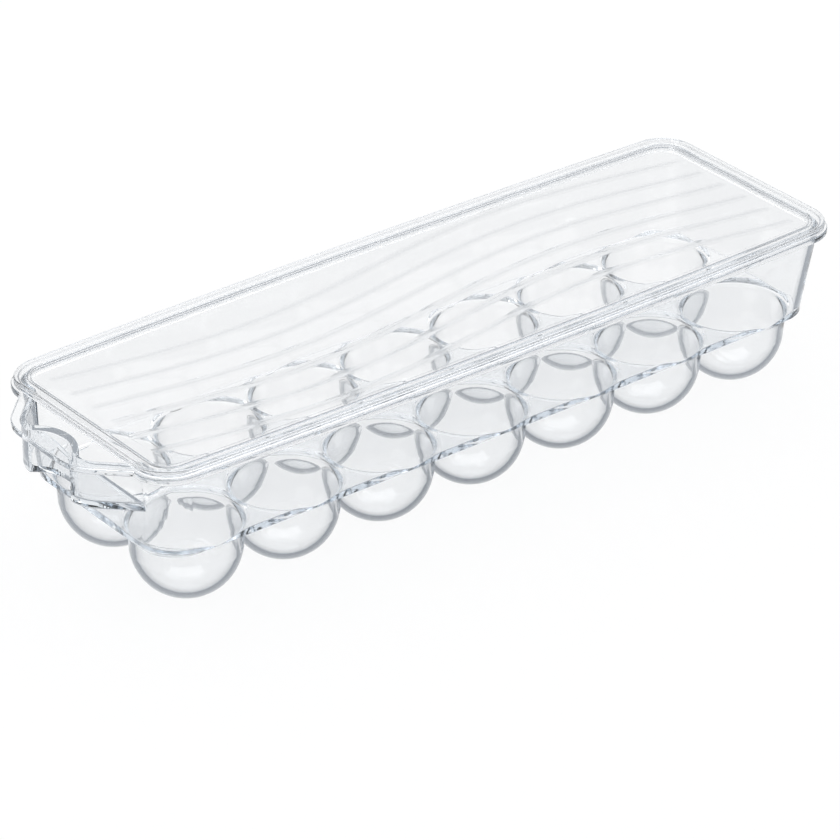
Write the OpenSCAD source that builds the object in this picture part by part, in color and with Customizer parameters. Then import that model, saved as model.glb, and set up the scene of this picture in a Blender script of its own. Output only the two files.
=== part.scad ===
// Egg keeper: a clear tray with two rows of round egg cups, a pull handle at the
// left end and a flat lid that lifts straight off.
// The origin is at the middle of the overall box, on the table that the cups stand on.
// +X runs along the tray, away from the handle. The lid lifts along +Z.

/* [Egg cups] */
// Number of cups along the tray
cups_long = 7; // [3:1:9]
// Number of rows across the tray
rows = 2; // [1:1:3]
// Outside radius of the round bottom of a cup
cup_r = 22.5; // [18:0.25:27]
// How much a cup opens out between its widest round and the deck
cup_draft = 0.7; // [0.2:0.1:0.9]
// Thickness of a cup
cup_wall = 2.2; // [1.8:0.1:2.6]
// Gap between neighbouring cups of a row, at the deck
cup_gap_x = 0.6; // [0.2:0.1:8]
// Gap between the rows, at the deck
cup_gap_y = 2.6; // [0.2:0.1:10]
// Radius of the flat foot under a cup
foot_r = 5; // [3:0.5:7]
// Rounding of a cup's mouth where it opens into the deck
lip_r = 5; // [3.5:0.25:6]

/* [Tray] */
// Height of the deck's top face above the table
deck_z = 33.6; // [30:0.2:38]
// Thickness of the deck
deck_t = 2.2; // [1.8:0.1:3]
// Thickness of the tray's walls
wall_t = 2.2; // [1.6:0.1:3]
// Distance from the cups to the outside of the long walls, at the deck
side_land = 0.9; // [0.9:0.1:8]
// Distance from the cups to the outside of the end walls, at the deck
end_land = 3; // [1:0.5:12]
// How far the long walls lean out between deck and rim
lean_y = 3.1; // [1:0.1:6]
// How far the end walls lean out between deck and rim
lean_x = 2.8; // [1:0.1:6]
// Corner radius of the walls at the deck
deck_corner_r = 16; // [9:0.1:20]
// Corner radius of the walls at the rim
corner_r = 12.3; // [8:0.1:18]
// Outward bow of the long sides at the deck
deck_bow = 0.6; // [0:0.1:2]
// Outward bow of the long sides at the rim
rim_bow = 2.4; // [0:0.1:4]
// Height of the rim's top face above the table
rim_z = 71; // [64:0.5:84]
// Thickness of the rim
rim_t = 2.6; // [2:0.1:4]
// Overhang of the rim beyond the walls
rim_w = 4; // [2.5:0.1:6]
// Rounding of the rim's outer edges
rim_edge = 0.6; // [0.3:0.1:0.9]

/* [Handle] */
// How far the handle reaches out beyond the tray's end
handle_reach = 16.5; // [13:0.5:24]
// Straight length of the rim between a corner and the handle's notch
notch_land = 1.1; // [0.2:0.1:12]
// Height of the handle from its underside to the rim's top face
handle_h = 20; // [14:0.5:28]
// Corner radius of the handle's front
handle_r = 20; // [10:0.5:24]
// Width of the finger scoop under the handle's rim
scoop_w = 28.6; // [20:0.2:32]
// Depth of the finger scoop
scoop_d = 8; // [5:0.25:10]

/* [Lid] */
// Height of the lid's raised band above the tray's rim
band_h = 3; // [2.4:0.1:5]
// Thickness of the lid
lid_t = 1.8; // [1.4:0.1:2.4]
// How far the panel lies below the top of the raised band
panel_step = 1.2; // [0.6:0.1:1.8]
// How far the lid's edge is set back from the edge of the tray's rim
lid_inset = 1.2; // [0.4:0.1:2]
// Thickness of the rib that locates the lid inside the rim
key_t = 1.2; // [0.8:0.1:1.6]
// How far the locating rib reaches down inside the rim
key_h = 2; // [1:0.1:2.4]
// Running gap between the locating rib and the rim
key_gap = 0.4; // [0.2:0.05:0.8]

/* [Waves] */
// Number of wave ribs on the lid
wave_count = 6; // [2:1:8]
// Half height of a wave's sweep across the lid
wave_sweep = 8; // [0:0.5:8]
// Length of one whole wave
wave_length = 286; // [150:2:400]
// Distance of a wave's first trough from the middle of the tray, towards the handle
wave_trough = 76; // [0:1:140]
// Width of a wave rib
wave_w = 3.6; // [2:0.1:5]
// Height of a wave rib
wave_h = 0.4; // [0.2:0.05:1]
// Distance of the ribs' ends from the raised band
wave_end_gap = 6.5; // [2:0.5:20]
// Distance of the outermost crests from the raised band
wave_side_gap = 2.6; // [1:0.1:12]

/* [Hidden] */
$fn = 96;

corner_steps = 10;
side_steps = 14;
lip_crisp = 0.1;
lid_edge = 0.8;
over = 1;
clear_blue = [0.80, 0.87, 0.93, 0.5];
clear_grey = [0.86, 0.89, 0.92, 0.5];

// Heights
foot_z = sqrt(cup_r * cup_r - foot_r * foot_r);
cup_top_z = deck_z - deck_t;
lip_z = deck_z - lip_r + lip_crisp;
wall_top_z = rim_z - rim_t;
shelf_z = rim_z - handle_h;
shelf_top_z = shelf_z + wall_t;
band_top_z = rim_z + band_h;
panel_top_z = band_top_z - panel_step;
panel_z = panel_top_z - lid_t;

// Cups
cup_top_r = cup_r + cup_draft;
bore_r = cup_top_r - cup_wall;
cup_pitch_x = 2 * cup_top_r + cup_gap_x;
cup_pitch_y = 2 * cup_top_r + cup_gap_y;
grid_x = cup_pitch_x * (cups_long - 1) / 2;
grid_y = cup_pitch_y * (rows - 1) / 2;

// Half lengths and half widths of the walls and the rim
deck_hx = grid_x + cup_top_r + end_land;
deck_hy = grid_y + cup_top_r + side_land;
wall_hx = deck_hx + lean_x;
wall_hy = deck_hy + lean_y;
rim_hx = wall_hx + rim_w;
rim_hy = wall_hy + rim_w;
rim_r = corner_r + rim_w;
throat = rim_w + wall_t;

// Width of the handle between its two notches
handle_w = 2 * (rim_hy - rim_r - notch_land);

// Finger scoop, as the part of a circle that gives its width and depth
scoop_r = (scoop_w * scoop_w / 4 + scoop_d * scoop_d) / (2 * scoop_d);
scoop_x = -(rim_hx + handle_reach - rim_w) + scoop_d - scoop_r;

// Lid, measured inwards from the edge of the tray's rim
key_in = throat + key_gap;
band_in = key_in + key_t;
skirt_in = lid_inset + lid_t;

// Wave ribs, spread over the panel from side to side
wave_end_x = rim_hx - band_in - wave_end_gap;
wave_crest_y = rim_hy - band_in - wave_side_gap - wave_w / 2;
wave_pitch = 2 * (wave_crest_y - wave_sweep) / (wave_count - 1);
wave_steps = 48;
wave_arc = 4;

// The handle makes the box longer at one end, so the tray stands off the origin
tray_x = handle_reach / 2;

function two_digits(n) = n < 10 ? str("0", n) : str(n);
function cup_name(n) = str("egg_cup_", two_digits(n));
function row_of(n) = floor((n - 1) / cups_long);
function cup_x(n) = ((n - 1) % cups_long) * cup_pitch_x - grid_x;
function cup_y(n) = row_of(n) * cup_pitch_y - grid_y;

// Points of a round corner about (x, y)
function corner(x, y, r, from, to, steps) =
  [for (i = [0:steps]) let (a = from + (to - from) * i / steps) [x + r * cos(a), y + r * sin(a)]];

// Points along a long side that bows outwards, without its ends. dir is 1 or -1 along X.
function bowed_side(hx, hy, r, bow, dir, side) =
  [for (i = [1:side_steps - 1]) let (u = dir * (2 * i / side_steps - 1))
    [u * (hx - r), side * (hy + bow * (1 - u * u))]];

// Right half of the tray's outline and its two long sides, from the near left corner to the far left
function long_run(hx, hy, r, bow) = concat(
  bowed_side(hx, hy, r, bow, 1, -1),
  corner(hx - r, -(hy - r), r, -90, 0, corner_steps),
  corner(hx - r, hy - r, r, 0, 90, corner_steps),
  bowed_side(hx, hy, r, bow, -1, 1)
);

// Closed outline of the tray without its handle
function tray_outline(hx, hy, r, bow) = concat(
  long_run(hx, hy, r, bow),
  corner(-(hx - r), hy - r, r, 90, 180, corner_steps),
  corner(-(hx - r), -(hy - r), r, 180, 270, corner_steps)
);

// The same outline at the rim's level, set in from the rim's edge
function rim_outline(inset) =
  tray_outline(rim_hx - inset, rim_hy - inset, rim_r - inset, rim_bow);

// Front of the handle between its oblique sides, set in from the rim's edge
function handle_front(inset) =
  let (
    x = -(rim_hx + handle_reach - inset),
    y = handle_w / 2 - handle_reach - inset * (sqrt(2) - 1),
    r = handle_r - inset,
    back = r * tan(22.5)
  )
  concat(
    corner(x + r, y - back, r, 135, 180, corner_steps),
    corner(x + r, -(y - back), r, 180, 225, corner_steps)
  );

// Half width of the handle between its oblique sides, at a distance from the tray's middle
function handle_half_w(distance, inset) = handle_w / 2 + rim_hx - distance - inset * sqrt(2);

// Closed outline of the handle, carried on into the tray
function handle_outline(inset) =
  let (distance = wall_hx - corner_r / 2, y = handle_half_w(distance, inset))
  concat([[-distance, y]], handle_front(inset), [[-distance, -y]]);

// Closed outline of tray and handle together at the rim's level
function whole_outline(inset) =
  let (
    hx = rim_hx - inset,
    hy = rim_hy - inset,
    r = rim_r - inset,
    notch = handle_w / 2 - inset * (sqrt(2) - 1)
  )
  concat(
    long_run(hx, hy, r, rim_bow),
    corner(-(hx - r), hy - r, r, 90, 180, corner_steps),
    [[-hx, notch]],
    handle_front(inset),
    [[-hx, -notch]],
    corner(-(hx - r), -(hy - r), r, 180, 270, corner_steps)
  );

// Outline of the tray's wall at height z, set in from its outer face
function wall_outline(z, inset) =
  let (rise = (z - deck_z) / (wall_top_z - deck_z))
  tray_outline(
    deck_hx + lean_x * rise - inset,
    deck_hy + lean_y * rise - inset,
    deck_corner_r + (corner_r - deck_corner_r) * rise - inset,
    deck_bow + (rim_bow - deck_bow) * rise
  );

function at_z(outline, z) = [for (p = outline) [p.x, p.y, z]];

// Two triangles for each gap between one ring of points and the next
function band_faces(count, from, to) =
  [for (i = [0:count - 1]) let (j = (i + 1) % count)
    each [[from + i, to + j, from + j], [from + i, to + i, to + j]]];

// Closed ring whose section goes through each outline in turn
module ring(rings) {
  count = len(rings[0]);
  polyhedron(
    points = [for (r = rings) each r],
    faces = [for (k = [0:len(rings) - 1])
      each band_faces(count, k * count, ((k + 1) % len(rings)) * count)]
  );
}

// Solid between a lower and an upper outline
module loft(lower, upper) {
  count = len(lower);
  polyhedron(
    points = concat(lower, upper),
    faces = concat(
      [[for (i = [0:count - 1]) i]],
      band_faces(count, 0, count),
      [[for (i = [0:count - 1]) 2 * count - 1 - i]]
    )
  );
}

module prism(outline, from, to) {
  translate([0, 0, from]) linear_extrude(to - from) polygon(outline);
}

// Half section of a round bottom that opens out from r to top_r at the height top_z
module cup_section(r, top_r, top_z) {
  intersection() {
    translate([0, foot_z]) circle(r);
    square([r, foot_z]);
  }
  polygon([[0, foot_z], [r, foot_z], [top_r, top_z], [0, top_z]]);
}

// Half section of the space that an egg goes into, from the bottom of the cup up through the deck
module hollow_section() {
  cup_section(cup_r - cup_wall, bore_r, lip_z);
  difference() {
    translate([0, lip_z]) square([bore_r + lip_r, deck_z + over - lip_z]);
    translate([bore_r + lip_r, lip_z]) circle(lip_r);
  }
}

// One round egg cup under the deck, with a flat foot
module egg_cup(n) {
  color(clear_blue) translate([tray_x + cup_x(n), cup_y(n), 0]) rotate_extrude() difference() {
    cup_section(cup_r, cup_top_r, cup_top_z);
    hollow_section();
  }
}

// Flat floor of the tray, with a rounded mouth over every cup
module egg_deck() {
  color(clear_grey) translate([tray_x, 0, 0]) difference() {
    prism(wall_outline(deck_z, 0), cup_top_z, deck_z);
    intersection() {
      for (n = [1:rows * cups_long]) translate([cup_x(n), cup_y(n), 0]) rotate_extrude() hollow_section();
      prism(wall_outline(deck_z, wall_t), cup_top_z - over, deck_z + over);
    }
  }
}

// Leaning wall round the tray, open into the handle above the handle's floor
module side_wall() {
  color(clear_grey) translate([tray_x, 0, 0]) difference() {
    ring([
      at_z(wall_outline(deck_z, 0), deck_z),
      at_z(wall_outline(wall_top_z, 0), wall_top_z),
      at_z(wall_outline(wall_top_z, wall_t), wall_top_z),
      at_z(wall_outline(deck_z, wall_t), deck_z)
    ]);
    prism(handle_outline(throat), shelf_top_z, wall_top_z + over);
  }
}

module scoop(r, from, to) {
  translate([scoop_x, 0, from]) cylinder(h = to - from, r = r);
}

// Hollow handle with a floor, and a scoop in its front for the fingers
module handle() {
  color(clear_grey) translate([tray_x, 0, 0]) difference() {
    union() {
      difference() {
        prism(handle_outline(rim_w), shelf_z, wall_top_z);
        prism(handle_outline(throat), shelf_top_z, wall_top_z + over);
      }
      intersection() {
        scoop(scoop_r + wall_t, shelf_z, wall_top_z);
        prism(handle_outline(rim_w), shelf_z, wall_top_z);
      }
    }
    scoop(scoop_r, shelf_z - over, wall_top_z + over);
    loft(at_z(wall_outline(deck_z, 0), deck_z), at_z(wall_outline(wall_top_z + over, 0), wall_top_z + over));
  }
}

// Flat rim round tray and handle, which also roofs the finger scoop
module rim() {
  color(clear_blue) translate([tray_x, 0, 0]) {
    ring([
      at_z(whole_outline(rim_edge), wall_top_z),
      at_z(whole_outline(0), wall_top_z + rim_edge),
      at_z(whole_outline(0), rim_z - rim_edge),
      at_z(whole_outline(rim_edge), rim_z),
      at_z(whole_outline(throat), rim_z),
      at_z(whole_outline(throat), wall_top_z)
    ]);
    intersection() {
      scoop(scoop_r + wall_t, wall_top_z, rim_z);
      prism(handle_outline(rim_w), wall_top_z, rim_z);
    }
  }
}

// Raised band round the lid, with its skirt and the rib that locates it inside the rim
module lid_band() {
  color(clear_blue) translate([tray_x, 0, 0]) ring([
    at_z(rim_outline(lid_inset), rim_z),
    at_z(rim_outline(lid_inset), band_top_z - lid_edge),
    at_z(rim_outline(lid_inset + lid_edge * 0.3), band_top_z - lid_edge * 0.3),
    at_z(rim_outline(lid_inset + lid_edge), band_top_z),
    at_z(rim_outline(band_in - lid_edge / 2), band_top_z),
    at_z(rim_outline(band_in), band_top_z - lid_edge / 2),
    at_z(rim_outline(band_in), rim_z - key_h),
    at_z(rim_outline(key_in), rim_z - key_h),
    at_z(rim_outline(key_in), band_top_z - lid_t),
    at_z(rim_outline(skirt_in), band_top_z - lid_t),
    at_z(rim_outline(skirt_in), rim_z)
  ]);
}

// Flat panel inside the band
module lid_panel() {
  color(clear_grey) translate([tray_x, 0, 0]) prism(rim_outline(band_in), panel_z, panel_top_z);
}

function wave_y(x, middle) = middle - wave_sweep * cos(360 * (x + wave_trough) / wave_length);

// One low rounded rib that follows a wave along the panel
module wave_rib(middle) {
  count = wave_arc + 1;
  points = [for (i = [0:wave_steps]) let (x = wave_end_x * (2 * i / wave_steps - 1))
    for (j = [0:wave_arc]) let (a = 180 * j / wave_arc)
      [x, wave_y(x, middle) - wave_w / 2 * cos(a), panel_top_z + wave_h * sin(a)]];
  polyhedron(
    points = points,
    faces = concat(
      [[for (j = [0:wave_arc]) j]],
      [for (i = [0:wave_steps - 1]) each band_faces(count, (i + 1) * count, i * count)],
      [[for (j = [0:wave_arc]) len(points) - 1 - j]]
    )
  );
}

// Long wave ribs side by side on the panel
module wave_ribs() {
  color(clear_blue) translate([tray_x, 0, 0])
    for (k = [0:wave_count - 1]) wave_rib((k - (wave_count - 1) / 2) * wave_pitch);
}

egg_deck();
side_wall();
rim();
handle();
lid_band();
lid_panel();
wave_ribs();
for (n = [1:rows * cups_long])
  egg_cup(n);
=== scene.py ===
import math
import bmesh
import bpy
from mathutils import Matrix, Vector


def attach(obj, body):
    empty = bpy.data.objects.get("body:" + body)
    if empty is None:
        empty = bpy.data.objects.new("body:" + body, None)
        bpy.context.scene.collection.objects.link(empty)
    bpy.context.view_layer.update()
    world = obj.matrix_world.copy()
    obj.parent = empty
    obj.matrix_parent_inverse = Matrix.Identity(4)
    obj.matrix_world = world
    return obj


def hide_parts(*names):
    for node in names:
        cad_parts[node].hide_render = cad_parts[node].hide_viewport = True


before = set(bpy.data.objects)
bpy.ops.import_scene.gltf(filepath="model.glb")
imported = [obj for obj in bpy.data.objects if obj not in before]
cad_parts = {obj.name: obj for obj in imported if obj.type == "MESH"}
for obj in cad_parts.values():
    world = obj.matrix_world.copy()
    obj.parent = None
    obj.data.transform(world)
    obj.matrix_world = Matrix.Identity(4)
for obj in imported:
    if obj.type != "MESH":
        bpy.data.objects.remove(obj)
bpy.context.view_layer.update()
print("frame loaded:", len(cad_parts), "CAD nodes")

# The shapes are worked out in millimetres from the middle of the tray, standing on z = 0.
# finishPiece brings each one to metres and to its place in the frame.


class Signal:
    # one socket of a node tree, so that shader maths reads as plain expressions
    def __init__(self, tree, socket=None):
        self.tree = tree
        self.socket = socket

    def make(self, kind, settings=None, sockets=None, output=0):
        # adds any node: its settings first, then the values or links of its sockets
        node = self.tree.nodes.new(kind)
        for name, value in (settings or {}).items():
            if name == "stops":
                ramp = node.color_ramp.elements
                while len(ramp) < len(value):
                    ramp.new(1.0)
                for stop, (position, colour) in zip(ramp, value):
                    stop.position = position
                    stop.color = colour
            else:
                setattr(node, name, value)
        for name, value in (sockets or {}).items():
            if isinstance(value, Signal):
                self.tree.links.new(value.socket, node.inputs[name])
            else:
                node.inputs[name].default_value = value
        return Signal(self.tree, node.outputs[output] if len(node.outputs) else None)

    def other(self, output):
        # another output of the same node
        return Signal(self.tree, self.socket.node.outputs[output])

    def work(self, operation, *values):
        return self.make("ShaderNodeMath", {"operation": operation}, dict(enumerate(values)))

    def __add__(self, other):
        return self.work("ADD", self, other)

    def __sub__(self, other):
        return self.work("SUBTRACT", self, other)

    def __rsub__(self, other):
        return self.work("SUBTRACT", other, self)

    def __mul__(self, other):
        return self.work("MULTIPLY", self, other)

    def __lt__(self, other):
        return self.work("LESS_THAN", self, other)

    def __gt__(self, other):
        return self.work("GREATER_THAN", self, other)

    __radd__ = __add__
    __rmul__ = __mul__

    def most(self, other):
        return self.work("MAXIMUM", self, other)

    def size(self):
        return self.work("ABSOLUTE", self)

    def fade(self, none, full):
        # 0 at the first value and 1 at the second, smooth between them
        sockets = {"Value": self, "From Min": none, "From Max": full}
        return self.make("ShaderNodeMapRange", {"interpolation_type": "SMOOTHSTEP"}, sockets)

    def colours(self, none, full):
        return self.make("ShaderNodeMix", {"data_type": "RGBA"}, {0: self, 6: none, 7: full}, 2)

    def shaders(self, none, full):
        return self.make("ShaderNodeMixShader", sockets={0: self, 1: none, 2: full})


def clearPlastic(name, look, frostingAndShade=None):
    # the mask function given here marks the frosted wave ribs: they get rougher, and their tint carries a
    # painted shade that stands in for how the ribs bend the light
    material = bpy.data.materials.new(name)
    material.use_nodes = True
    material.node_tree.nodes.clear()
    nodes = Signal(material.node_tree)
    place = nodes.make("ShaderNodeTexCoord", output="Object")
    noise = {"Vector": place, "Scale": look["swellScale"], "Detail": 1.0}
    swell = nodes.make("ShaderNodeTexNoise", sockets=noise)
    waviness = {"Height": swell * look["swell"], "Distance": 1.0, "Strength": 1.0}
    bump = nodes.make("ShaderNodeBump", sockets=waviness)
    tint = swell.colours(look["paleTint"], look["deepTint"])
    polish = swell * look["polishSpread"]
    if frostingAndShade:
        mask = frostingAndShade(nodes, place)
        # the ribs' added roughness is real frosting; their darker tint is painted shade
        tint = mask.colours(tint, look["ribShadeTint"])
        polish = polish + mask * look["frostRoughness"]
    plastic = nodes.make(
        "ShaderNodeBsdfPrincipled",
        sockets={
            "Base Color": tint,
            "Roughness": polish,
            "IOR": look["ior"],
            "Transmission Weight": 1.0,
            "Normal": bump,
        },
    )
    passing = nodes.make("ShaderNodeBsdfTransparent", sockets={"Color": look["shade"]})
    shadowRay = nodes.make("ShaderNodeLightPath", output="Is Shadow Ray")
    surface = shadowRay.shaders(plastic, passing)
    absorption = {"Color": look["bodyColour"], "Density": look["bodyDensity"]}
    depth = nodes.make("ShaderNodeVolumeAbsorption", sockets=absorption)
    nodes.make("ShaderNodeOutputMaterial", sockets={"Surface": surface, "Volume": depth})
    return material


tray = {
    "cupsAlong": 7,
    "cupsAcross": 2,
    "pitchX": 47.0,
    "pitchY": 49.0,
    "cupRadius": 22.5,
    "cupDraft": 0.7,  # how much wider the cup is at its mouth than at its widest round
    "cupWall": 2.2,
    "footRadius": 5.0,
    "mouthRound": 4.9,
    "neckRound": 0.8,
    "deck": 33.6,
    "deckThick": 2.2,
    "wall": 2.2,
    "sideLand": 0.9,
    "endLand": 3.0,
    "sideLean": 3.1,
    "endLean": 2.8,
    "deckCorner": 16.0,
    "corner": 12.3,
    "deckBow": 0.6,
    "rimBow": 2.4,
    "insideRound": 0.6,
    "bottomRound": 0.5,
    "wallFoot": 2.0,  # where the inner face of the wall starts, above the deck
    "rimTop": 71.0,
    "rimThick": 2.6,
    "rimWide": 4.0,
    "rimRound": 0.6,
    "handleReach": 16.5,
    "handleWide": 76.6,
    "handleHigh": 20.0,
    "handleCorner": 20.0,
    "handleRound": 1.0,
    "pocketRound": 1.5,
    "pocketBack": 160.0,  # how far from the middle the cut for the pocket starts
    "scoopWide": 28.6,
    "scoopDeep": 8.0,
    "overcut": 2.0,
    "turns": 72,  # steps of a full turn of a cup
    "bowlSteps": 15,
    "mouthSteps": 9,
    "neckSteps": 5,
    "poleStep": 5.0,  # degrees from a cup's axis to the first ring of its inside
    "cellRing": 28.0,  # radius of the flat ring outside a cup's mouth
    "cellReach": 37.0,  # radius that takes in the corners between four cups
    "scoopSteps": 96,
    "sideSteps": 24,
    "cornerSteps": 10,
    "look": {
        "paleTint": (0.975, 0.978, 0.981, 1.0),
        "deepTint": (0.950, 0.956, 0.962, 1.0),
        "polishSpread": 0.02,
        "ior": 1.5,
        "swell": 0.00002,
        "swellScale": 32.0,
        "bodyColour": (0.72, 0.78, 0.84, 1.0),
        "bodyDensity": 12.0,
        "shade": (0.96, 0.97, 0.98, 1.0),
    },
}

middleX = tray["handleReach"] / 2  # the tray stands off the origin, because the handle is on one end
gridX = tray["pitchX"] * (tray["cupsAlong"] - 1) / 2
gridY = tray["pitchY"] * (tray["cupsAcross"] - 1) / 2
cupTop = tray["cupRadius"] + tray["cupDraft"]
deckHalfX = gridX + cupTop + tray["endLand"]
deckHalfY = gridY + cupTop + tray["sideLand"]
wallTop = tray["rimTop"] - tray["rimThick"]
rimHalfX = deckHalfX + tray["endLean"] + tray["rimWide"]
throat = tray["rimWide"] + tray["wall"]

# verts nearer than this are merged, and cuts and slivers below this are dropped, in mm
weld = {"cells": 0.01, "clipped": 0.004, "halves": 0.003, "finished": 0.002, "sliver": 0.0005, "cut": 0.0001}


def sectionArc(depth, z, radius, start, end, steps=3):
    # a round corner of a section, as pairs of depth and height
    turns = [math.radians(start + (end - start) * i / steps) for i in range(steps + 1)]
    return [(depth + radius * math.cos(turn), z + radius * math.sin(turn)) for turn in turns]


def roundCorner(x, y, radius, start, end):
    return sectionArc(x, y, radius, start, end, tray["cornerSteps"])


def edgeOutline(depth, z):
    # the tray's outline, depth inside the outer face of its wall; below 0 is out on the rim
    rise = min(1.0, max(0.0, (z - tray["deck"]) / (wallTop - tray["deck"])))
    halfX = deckHalfX + tray["endLean"] * rise - depth
    halfY = deckHalfY + tray["sideLean"] * rise - depth
    radius = tray["deckCorner"] + (tray["corner"] - tray["deckCorner"]) * rise - depth
    bow = tray["deckBow"] + (tray["rimBow"] - tray["deckBow"]) * rise
    steps = tray["sideSteps"]
    runs = [2 * i / steps - 1 for i in range(1, steps)]
    side = [(u * (halfX - radius), halfY + bow * (1 - u * u)) for u in runs]
    x, y = halfX - radius, halfY - radius
    return (
        [(px, -py) for px, py in side]
        + roundCorner(x, -y, radius, -90, 0)
        + roundCorner(x, y, radius, 0, 90)
        + [(-px, py) for px, py in side]
        + roundCorner(-x, y, radius, 90, 180)
        + roundCorner(-x, -y, radius, 180, 270)
    )


def edgeRing(depth, z):
    return [Vector((x, y, z)) for x, y in edgeOutline(depth, z)]


def newRing(bm, points):
    verts = [bm.verts.new(p) for p in points]
    for a, b in zip(verts, verts[1:] + verts[:1]):
        bm.edges.new((a, b))
    return verts


def sweepRing(bm, ring, targets):
    # extrudes a closed ring of verts through each list of points in turn
    for points in targets:
        edges = [bm.edges.get((a, b)) for a, b in zip(ring, ring[1:] + ring[:1])]
        made = bmesh.ops.extrude_edge_only(bm, edges=edges)["geom"]
        fresh = {v for v in made if isinstance(v, bmesh.types.BMVert)}
        ring = [next(e.other_vert(v) for e in v.link_edges if e.other_vert(v) in fresh) for v in ring]
        for vert, point in zip(ring, points):
            vert.co = point
    return ring


def placeAlong(point, outline):
    # how far along the outline a point lies, counted in its sides
    best = (1e9, 0.0)
    count = len(outline)
    for i in range(count):
        a, b = Vector(outline[i]), Vector(outline[(i + 1) % count])
        side = b - a
        t = min(1.0, max(0.0, (point.xy - a).dot(side) / side.length_squared))
        best = min(best, ((point.xy - a - side * t).length, (i + t) % count))
    return best[1]


def pointAlong(along, outline):
    i = int(along)
    a, b = Vector(outline[i]), Vector(outline[(i + 1) % len(outline)])
    return a + (b - a) * (along - i)


def openRing(bm, outline):
    # the verts of a sheet's open border in order, each with its place along the outline
    border = {v for e in bm.edges if e.is_boundary for v in e.verts}
    return sorted(((placeAlong(v.co, outline), v) for v in border), key=lambda pair: pair[0])


def stitch(bm, loose, neat):
    # joins a border of any number of verts to a ring that has one vert for each of the outline's corners
    count = len(neat)
    i = j = 0
    while i < len(loose) or j < count:
        a, b = loose[i % len(loose)][1], neat[j % count]
        ahead = loose[i + 1][0] if i + 1 < len(loose) else loose[0][0] + count
        if j == count or (i < len(loose) and ahead <= j + 1):
            i += 1
            bm.faces.new((a, loose[i % len(loose)][1], b))
        else:
            j += 1
            bm.faces.new((a, neat[j % count], b))


def toMesh(bm, name):
    mesh = bpy.data.meshes.new(name)
    bm.to_mesh(mesh)
    bm.free()
    return mesh


def toObject(bm, name):
    made = bpy.data.objects.new(name, toMesh(bm, name))
    bpy.context.scene.collection.objects.link(made)
    return made


def takeIn(bm, mesh):
    # adds a mesh to a bmesh and clears the mesh away
    bm.from_mesh(mesh)
    bpy.data.meshes.remove(mesh)


def turnOutwards(bm):
    bmesh.ops.recalc_face_normals(bm, faces=bm.faces)
    if bm.calc_volume(signed=True) < 0:
        bmesh.ops.reverse_faces(bm, faces=bm.faces)


def closedSolid(rings):
    bm = bmesh.new()
    first = newRing(bm, rings[0])
    last = sweepRing(bm, first, rings[1:])
    bm.faces.new(first)
    bm.faces.new(last)
    bmesh.ops.recalc_face_normals(bm, faces=bm.faces)
    return toObject(bm, "tool")


def carve(target, tool, operation):
    cut = target.modifiers.new("cut", "BOOLEAN")
    cut.operation = operation
    cut.solver = "MANIFOLD"
    cut.object = tool
    bpy.context.view_layer.update()
    shaped = target.evaluated_get(bpy.context.evaluated_depsgraph_get())
    target.data = bpy.data.meshes.new_from_object(shaped)
    target.modifiers.clear()
    bpy.data.objects.remove(tool)


def cutAway(bm, point, normal):
    bmesh.ops.bisect_plane(
        bm,
        geom=bm.verts[:] + bm.edges[:] + bm.faces[:],
        dist=weld["cut"],
        plane_co=point,
        plane_no=normal,
        clear_outer=True,
    )


def finishPiece(piece, name, plastic, body, nodes):
    bm = bmesh.new()
    bm.from_mesh(piece.data)
    bmesh.ops.remove_doubles(bm, verts=bm.verts, dist=weld["finished"])
    bmesh.ops.dissolve_degenerate(bm, edges=bm.edges, dist=weld["sliver"])
    bmesh.ops.translate(bm, verts=bm.verts, vec=(middleX, 0, 0))
    bmesh.ops.scale(bm, verts=bm.verts, vec=(0.001, 0.001, 0.001))
    triangles = sum(len(f.verts) - 2 for f in bm.faces)
    openEdges = sum(not e.is_manifold for e in bm.edges)
    print(name, "triangles:", triangles, "open edges:", openEdges, "ml:", round(bm.calc_volume() * 1e6, 1))
    bm.to_mesh(piece.data)
    bm.free()
    piece.name = piece.data.name = name
    piece.data.shade_smooth()
    piece.data.set_sharp_from_angle(angle=math.radians(40))
    even = piece.modifiers.new("even normals", "WEIGHTED_NORMAL")
    even.keep_sharp = True
    piece.data.materials.clear()
    piece.data.materials.append(plastic)
    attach(piece, body)
    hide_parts(*nodes)


def cupCell(profile):
    # one cup and the deck round it, spun about the cup's axis
    cell = bmesh.new()
    points = [cell.verts.new((r, 0, z)) for r, z in profile]
    for a, b in zip(points, points[1:]):
        cell.edges.new((a, b))
    bmesh.ops.spin(
        cell,
        geom=cell.verts[:] + cell.edges[:],
        cent=(0, 0, 0),
        axis=(0, 0, 1),
        angle=math.tau,
        steps=tray["turns"],
        use_merge=True,
    )
    bmesh.ops.remove_doubles(cell, verts=cell.verts, dist=weld["cells"])
    return toMesh(cell, "cell")


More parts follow.
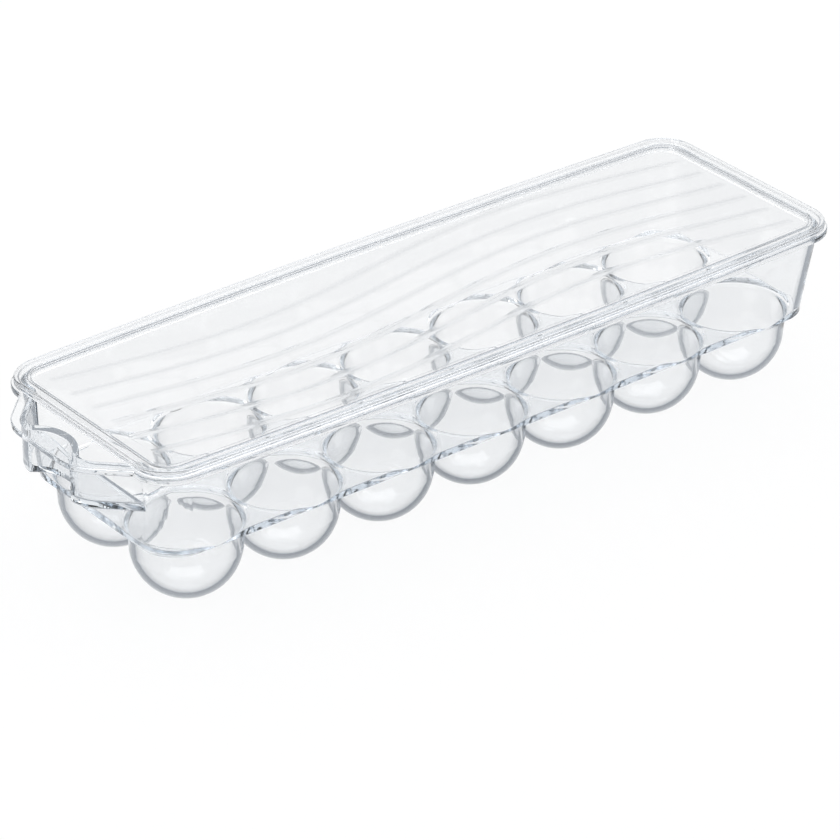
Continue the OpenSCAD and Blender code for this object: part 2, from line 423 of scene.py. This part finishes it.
def cupSheet(profile, clipDepth):
    # every cup's surface and the deck round it, cut halfway to the next cup and off at the wall
    cell = cupCell(profile)
    sheet = bmesh.new()
    for column in range(tray["cupsAlong"]):
        for row in range(tray["cupsAcross"]):
            cup = bmesh.new()
            cup.from_mesh(cell)
            cuts = [(step, 0) for step in (-1, 1) if 0 <= column + step < tray["cupsAlong"]]
            cuts += [(0, step) for step in (-1, 1) if 0 <= row + step < tray["cupsAcross"]]
            for x, y in cuts:
                halfway = Vector((x * tray["pitchX"] / 2, y * tray["pitchY"] / 2, 0))
                cutAway(cup, halfway, halfway)
            place = (column * tray["pitchX"] - gridX, row * tray["pitchY"] - gridY, 0)
            bmesh.ops.translate(cup, verts=cup.verts, vec=place)
            takeIn(sheet, toMesh(cup, "placed"))
    bpy.data.meshes.remove(cell)
    bmesh.ops.remove_doubles(sheet, verts=sheet.verts, dist=weld["cells"])
    outline = edgeOutline(clipDepth, tray["deck"])
    for a, b in zip(outline, outline[1:] + outline[:1]):
        cutAway(sheet, Vector((*a, 0)), Vector((b[1] - a[1], a[0] - b[0], 0)))
    bmesh.ops.remove_doubles(sheet, verts=sheet.verts, dist=weld["clipped"])
    return sheet


def cupProfile(radius, foot, mouth, mouthTop, mouthSteps):
    # section of a cup from its axis to well outside it: flat foot, if any, round bowl, rounded mouth, deck
    centre = math.sqrt(tray["cupRadius"] ** 2 - tray["footRadius"] ** 2)
    start = -math.degrees(math.acos(foot / radius)) if foot else tray["poleStep"] - 90
    points = [(0.0, centre - math.sqrt(radius ** 2 - foot ** 2))]
    points += sectionArc(0, centre, radius, start, 0, tray["bowlSteps"])
    points += sectionArc(radius + tray["cupDraft"] + mouth, mouthTop - mouth, mouth, 180, 90, mouthSteps)
    return points + [(tray["cellRing"], mouthTop), (tray["cellReach"], mouthTop)]


def addWallFoot(sheet, clipDepth, section):
    # carries the sheet's border on through a small round, and returns it with its places along the wall
    outline = edgeOutline(clipDepth, tray["deck"])
    border = openRing(sheet, outline)
    heights = [vert.co.z for _, vert in border]
    targets = []
    for depth, lift in section:
        edge = edgeOutline(depth, tray["deck"])
        targets.append([(*pointAlong(along, edge), z + lift) for (along, _), z in zip(border, heights)])
    ring = sweepRing(sheet, [vert for _, vert in border], targets)
    return [(along, vert) for (along, _), vert in zip(border, ring)]


def buildTray():
    wall, deck = tray["wall"], tray["deck"]
    r = tray["insideRound"]
    hollow = tray["cupRadius"] - tray["cupWall"]
    inside = cupSheet(cupProfile(hollow, 0.0, tray["mouthRound"], deck, tray["mouthSteps"]), wall + r)
    insideBorder = addWallFoot(inside, wall + r, sectionArc(wall + r, r, r, -90, -180)[1:])
    print("cup insides and deck made:", len(inside.faces), "faces")

    r = tray["bottomRound"]
    under = deck - tray["deckThick"]
    bowl = cupProfile(tray["cupRadius"], tray["footRadius"], tray["neckRound"], under, tray["neckSteps"])
    outside = cupSheet(bowl, r)
    outsideBorder = addWallFoot(outside, r, sectionArc(r, r, r, -90, -180)[1:])
    print("cup outsides made:", len(outside.faces), "faces")

    # the wall and the rim go from the deck up the inside, over the rim and down the outside
    edge, top, out = tray["rimRound"], tray["rimTop"], -tray["rimWide"]
    section = [(wall, deck + tray["wallFoot"]), (wall, wallTop)]
    section += sectionArc(wall - edge, top - edge, edge, 0, 90)
    section += sectionArc(out + edge, top - edge, edge, 90, 180)
    section += sectionArc(out + edge, wallTop + edge, edge, 180, 270)
    section += sectionArc(-edge, wallTop - edge, edge, 90, 0)
    section += [(0.0, deck)]
    rings = [edgeRing(depth, z) for depth, z in section]
    insideNeat = newRing(inside, rings[0])
    stitch(inside, insideBorder, insideNeat)
    sweepRing(inside, insideNeat, rings[1:])
    outsideNeat = newRing(outside, rings[-1])
    stitch(outside, outsideBorder, outsideNeat)
    takeIn(inside, toMesh(outside, "outside"))
    bmesh.ops.remove_doubles(inside, verts=inside.verts, dist=weld["halves"])
    turnOutwards(inside)
    print("wall and rim made; open edges:", sum(not e.is_manifold for e in inside.edges))
    return toObject(inside, "tray")


def handleRing(inset, z, back):
    # the handle's outline, inset from the edge of the rim, closed straight across inside the tray
    x = -(rimHalfX + tray["handleReach"] - inset)
    y = tray["handleWide"] / 2 - tray["handleReach"] - inset * (math.sqrt(2) - 1)
    radius = tray["handleCorner"] - inset
    short = radius * math.tan(math.radians(22.5))
    far = tray["handleWide"] / 2 + rimHalfX - back - inset * math.sqrt(2)
    outline = (
        [(-back, far)]
        + roundCorner(x + radius, y - short, radius, 135, 180)
        + roundCorner(x + radius, short - y, radius, 180, 225)
        + [(-back, -far)]
    )
    return [Vector((px, py, z)) for px, py in outline]


def scoopRing(radius, z):
    # a full circle through the finger scoop, radius outside the scoop's own face
    wide, deep, steps = tray["scoopWide"], tray["scoopDeep"], tray["scoopSteps"]
    arc = (wide * wide / 4 + deep * deep) / (2 * deep)
    x = -(rimHalfX + tray["handleReach"] - tray["rimWide"]) + deep - arc
    turns = [math.tau * i / steps for i in range(steps)]
    return [Vector((x + (arc + radius) * math.cos(t), (arc + radius) * math.sin(t), z)) for t in turns]


def scoopSolid(section):
    return closedSolid([scoopRing(radius, z) for radius, z in section])


def addHandle(piece):
    top, edge, wall, face = tray["rimTop"], tray["rimRound"], tray["wall"], tray["rimWide"]
    shelf = top - tray["handleHigh"]
    over = tray["overcut"]

    r = tray["handleRound"]
    section = sectionArc(face + r, shelf + r, r, -90, -180)
    section += sectionArc(face - edge, wallTop - edge, edge, 0, 90)
    section += sectionArc(edge, wallTop + edge, edge, 270, 180)
    section += sectionArc(edge, top - edge, edge, 180, 90)
    lean = tray["endLean"] / (wallTop - tray["deck"])
    backs = [deckHalfX - wall / 2 + lean * (min(z, wallTop) - tray["deck"]) for _, z in section]
    rings = [handleRing(inset, z, back) for (inset, z), back in zip(section, backs)]
    carve(piece, closedSolid(rings), "UNION")

    r = tray["pocketRound"]
    section = sectionArc(throat + r, shelf + wall + r, r, -90, -180, 4)
    section += sectionArc(throat - edge, top - edge, edge, 0, 90) + [(throat - edge, top + 2 * over)]
    pocket = closedSolid([handleRing(inset, z, tray["pocketBack"]) for inset, z in section])
    section = [(wall, shelf - over)] + sectionArc(wall - edge, top - edge, edge, 0, 90)
    carve(pocket, scoopSolid(section + [(wall - edge, top + 3 * over)]), "DIFFERENCE")
    carve(piece, pocket, "DIFFERENCE")

    section = [(edge, shelf - over)] + sectionArc(edge, shelf + edge, edge, 270, 180)
    section += sectionArc(-edge, wallTop - edge, edge, 0, 90)
    carve(piece, scoopSolid(section), "DIFFERENCE")
    print("handle made")


trayPiece = buildTray()
addHandle(trayPiece)
cupNodes = [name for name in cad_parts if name.startswith("egg_cup")]
trayNodes = ["egg_deck", "side_wall", "rim", "handle", *cupNodes]
trayPlastic = clearPlastic("tray_plastic", tray["look"])
finishPiece(trayPiece, "tray_shell", trayPlastic, "tray", trayNodes)


lid = {
    "bandHigh": 3.0,
    "thick": 1.8,
    "panelStep": 1.2,
    "inset": 1.2,
    "keyThick": 1.2,  # the key is the rib under the lid that fits inside the rim
    "keyDeep": 2.0,
    "keyGap": 0.4,
    "seatGap": 0.12,
    "bandRound": 0.8,
    "smallRound": 0.3,
    "panelRound": 0.5,
    "panelHalfX": 161.0,
    "panelHalfY": 45.6,
    "waves": 6,
    "waveSweep": 8.0,
    "waveLength": 286.0,
    "waveTrough": 76.0,
    "waveWide": 4.4,
    "waveHigh": 0.14,
    "waveEnd": 159.7,
    "waveFade": 4.0,
    "wavePitch": 14.2,
    "waveSteps": 5,  # rows of faces on each flank of a rib
    "columns": 96,
    "frostAndShadeCore": 0.34,  # the frosting and the painted shade are full within this share of a rib's width of its middle
    "frostAndShadeSoft": 1.0,
    "look": {
        "paleTint": (0.990, 0.990, 0.990, 1.0),
        "deepTint": (0.976, 0.977, 0.978, 1.0),
        # painted shade: the grey on the ribs stands in for the shade that their bends give the clear plastic
        "ribShadeTint": (0.905, 0.909, 0.914, 1.0),
        "frostRoughness": 0.10,
        "polishSpread": 0.02,
        "ior": 1.5,
        "swell": 0.00001,
        "swellScale": 26.0,
        "bodyColour": (0.72, 0.78, 0.84, 1.0),
        "bodyDensity": 10.0,
        "shade": (0.97, 0.98, 0.99, 1.0),
    },
}


def waveFrostAndShade(nodes, place):
    # 1 along the middle of each wave rib, 0 between the ribs and past their ends; it places the frosting and
    # the painted shade of the ribs
    pitch, wide, soft = lid["wavePitch"], lid["waveWide"], lid["frostAndShadeSoft"]
    span = pitch * lid["waves"] / 2
    metres = nodes.make("ShaderNodeSeparateXYZ", sockets={"Vector": place}, output="X")
    x = metres * 1000 - middleX
    sweep = x.work("COSINE", (x + lid["waveTrough"]) * (math.tau / lid["waveLength"]))
    across = metres.other("Y") * 1000 + sweep * lid["waveSweep"]
    ridge = x.work("PINGPONG", across + span, pitch / 2)  # half the pitch on the middle of a rib
    rib = ridge.fade(pitch / 2 - wide / 2, pitch / 2 - wide * lid["frostAndShadeCore"])
    ends = x.size().fade(lid["waveEnd"] + soft, lid["waveEnd"] - soft)
    return rib * ends * across.size().fade(span, span - pitch / 5)


def wavePanel(bm, level):
    # a grid whose rows follow the waves, raised where a row lies on a rib
    rows = [(-lid["panelHalfY"], 0.0)]
    steps = lid["waveSteps"]
    for k in range(lid["waves"]):
        middle = (k - (lid["waves"] - 1) / 2) * lid["wavePitch"]
        for i in range(-steps, steps + 1):
            rise = (1 + math.cos(math.pi * i / steps)) / 2
            rows.append((middle + lid["waveWide"] / 2 * i / steps, lid["waveHigh"] * rise))
    rows.append((lid["panelHalfY"], 0.0))
    made = bmesh.ops.create_grid(bm, x_segments=lid["columns"], y_segments=len(rows) - 1, size=1)["verts"]
    lastRib = rows[-2][0]
    for vert in made:
        x = vert.co.x * lid["panelHalfX"]
        across, bump = rows[round((vert.co.y + 1) / 2 * (len(rows) - 1))]
        hold = min(1.0, (lid["panelHalfY"] - abs(across)) / (lid["panelHalfY"] - lastRib))
        sweep = -lid["waveSweep"] * math.cos(math.tau * (x + lid["waveTrough"]) / lid["waveLength"])
        fade = min(1.0, max(0.0, (lid["waveEnd"] - abs(x)) / lid["waveFade"]))
        vert.co = (x, across + sweep * hold, level + bump * math.sin(fade * math.pi / 2))


def buildLid():
    bm = bmesh.new()
    base = tray["rimTop"]
    bandTop = base + lid["bandHigh"]
    panelTop = bandTop - lid["panelStep"]
    skirt = lid["inset"] + lid["thick"]
    keyOut = throat + lid["keyGap"]
    keyIn = keyOut + lid["keyThick"]
    channel = bandTop - lid["thick"]
    foot = base + lid["seatGap"]
    keyLow = base - lid["keyDeep"]
    big, small, r = lid["bandRound"], lid["smallRound"], lid["panelRound"]
    section = sectionArc(keyIn + r, panelTop + r, r, 270, 180)
    section += sectionArc(keyIn - small, bandTop - small, small, 0, 90)
    section += sectionArc(lid["inset"] + big, bandTop - big, big, 90, 180, 5)
    section += sectionArc(lid["inset"] + small, foot + small, small, 180, 270)
    section += sectionArc(skirt - small, foot + small, small, 270, 360)
    section += sectionArc(skirt + r, channel - r, r, 180, 90)
    section += sectionArc(keyOut - r, channel - r, r, 90, 0)
    section += sectionArc(keyOut + small, keyLow + small, small, 180, 270)
    section += sectionArc(keyIn - small, keyLow + small, small, 270, 360)
    section += sectionArc(keyIn + small, panelTop - lid["thick"] - small, small, 180, 90)
    wavePanel(bm, panelTop)
    outlines = [edgeOutline(inset - tray["rimWide"], base) for inset, _ in section]
    rings = [[Vector((x, y, z)) for x, y in outline] for outline, (_, z) in zip(outlines, section)]
    border = openRing(bm, outlines[0])
    first = newRing(bm, rings[0])
    stitch(bm, border, first)
    last = sweepRing(bm, first, rings[1:])
    bm.faces.new(last)
    turnOutwards(bm)
    return toObject(bm, "lid")


# the lid's wave ribs are frosted, and their tint carries a painted shade
lidPlastic = clearPlastic("lid_plastic", lid["look"], waveFrostAndShade)
finishPiece(buildLid(), "lid_shell", lidPlastic, "lid", ["lid_band", "lid_panel", "wave_ribs"])


studio = {
    "paper": (0.80, 0.81, 0.82, 1.0),
    "white": (1.0, 1.0, 1.0, 1.0),
    "paperHalf": 12.0,
    "paperDrop": 0.0004,
    "paperShare": 0.12,  # how much of the floor that is seen is lit paper, which keeps the shadow
    "paperGlow": 0.873,
    "edgeFloor": [
        (0.0, (0.19, 0.215, 0.25, 1.0)),
        (0.14, (0.35, 0.38, 0.42, 1.0)),
        (0.5, (0.09, 0.11, 0.13, 1.0)),
    ],
    "edgeReach": 2.0,
    "edgeSky": [
        (0.0, (0.08, 0.09, 0.11, 1.0)),
        (0.18, (0.24, 0.26, 0.29, 1.0)),
        (0.45, (0.92, 0.94, 0.97, 1.0)),
    ],
    "edgeBends": 7.5,  # light that has bent more often than this shows white again
    "topSoftbox": {"place": (0.3, 0.5, 1.6), "size": (2.0, 1.4), "power": 14.0},
    "sideSoftbox": {"place": (-1.4, -0.3, 0.9), "size": (0.8, 0.8), "power": 2.5},
}


def seenRays(nodes):
    # what is seen straight, mirrored or through clear plastic
    path = nodes.make("ShaderNodeLightPath", output="Is Camera Ray")
    return path.most(path.other("Is Glossy Ray")).most(path.other("Is Transmission Ray"))


def insideRays(nodes):
    # light that has run along inside the plastic, which shows the darker edges of the studio
    path = nodes.make("ShaderNodeLightPath", output="Is Transmission Ray")
    return path * (path.other("Glossy Depth") > 0.5) * (path.other("Ray Depth") < studio["edgeBends"])


def buildFloor():
    bm = bmesh.new()
    bmesh.ops.create_grid(bm, x_segments=2, y_segments=2, size=studio["paperHalf"])
    bmesh.ops.translate(bm, verts=bm.verts, vec=(0, 0, -studio["paperDrop"]))
    floor = toObject(bm, "floor")
    material = bpy.data.materials.new("floor_paper")
    material.use_nodes = True
    material.node_tree.nodes.clear()
    nodes = Signal(material.node_tree)
    glowShare = 1 - studio["paperShare"]
    paper = nodes.make("ShaderNodeBsdfDiffuse", sockets={"Color": studio["paper"]})
    glowing = {"Color": studio["white"], "Strength": studio["paperGlow"] / glowShare}
    glow = nodes.make("ShaderNodeEmission", sockets=glowing)
    spot = nodes.make("ShaderNodeTexCoord", output="Object")
    away = nodes.make("ShaderNodeVectorMath", {"operation": "LENGTH"}, {0: spot}, "Value")
    reach = away * (1 / studio["edgeReach"])
    edgeColour = nodes.make("ShaderNodeValToRGB", {"stops": studio["edgeFloor"]}, {"Fac": reach})
    edge = nodes.make("ShaderNodeEmission", sockets={"Color": edgeColour})
    shown = (seenRays(nodes) * glowShare).shaders(paper, glow)
    surface = insideRays(nodes).shaders(shown, edge)
    nodes.make("ShaderNodeOutputMaterial", sockets={"Surface": surface})
    floor.data.materials.append(material)


def buildWorld():
    world = bpy.data.worlds.new("studio")
    world.use_nodes = True
    world.node_tree.nodes.clear()
    nodes = Signal(world.node_tree)
    direction = nodes.make("ShaderNodeTexCoord", output="Generated")
    upward = nodes.make("ShaderNodeSeparateXYZ", sockets={"Vector": direction}, output="Z")
    sky = nodes.make("ShaderNodeValToRGB", {"stops": studio["edgeSky"]}, {"Fac": upward})
    colour = insideRays(nodes).colours(studio["white"], sky)
    background = nodes.make("ShaderNodeBackground", sockets={"Color": colour})
    nodes.make("ShaderNodeOutputWorld", sockets={"Surface": background})
    bpy.context.scene.world = world


def addLight(name, softbox):
    light = bpy.data.lights.new(name, "AREA")
    light.shape = "RECTANGLE"
    light.size, light.size_y = softbox["size"]
    light.energy = softbox["power"]
    lamp = bpy.data.objects.new(name, light)
    lamp.location = softbox["place"]
    lamp.rotation_euler = (-Vector(softbox["place"])).to_track_quat("-Z", "Y").to_euler()
    bpy.context.scene.collection.objects.link(lamp)


buildFloor()
buildWorld()
addLight("top_softbox", studio["topSoftbox"])
addLight("side_softbox", studio["sideSoftbox"])
print("studio made")


view = {
    "turn": -38.26,  # degrees round the object from its near long side
    "height": 29.54,  # degrees above the table
    "place": (-0.9552, -1.2136, 0.8933),
    "lens": 186.5,
    "sensor": 36.0,
    "clipEnd": 50.0,
}


def addCamera():
    turn, height = math.radians(view["turn"]), math.radians(view["height"])
    level = math.cos(height)
    back = Vector((math.sin(turn) * level, -math.cos(turn) * level, math.sin(height)))
    camera = bpy.data.objects.new("camera", bpy.data.cameras.new("camera"))
    camera.data.lens = view["lens"]
    camera.data.sensor_width = view["sensor"]
    camera.data.clip_end = view["clipEnd"]
    camera.location = view["place"]
    camera.rotation_euler = (-back).to_track_quat("-Z", "Y").to_euler()
    bpy.context.scene.collection.objects.link(camera)
    bpy.context.scene.camera = camera
    print("camera placed")


addCamera()
scene = bpy.context.scene
scene.view_settings.view_transform = "Standard"
scene.cycles.max_bounces = 40  # light bends many times inside the stacked clear walls
scene.cycles.transmission_bounces = 36
scene.cycles.glossy_bounces = 40
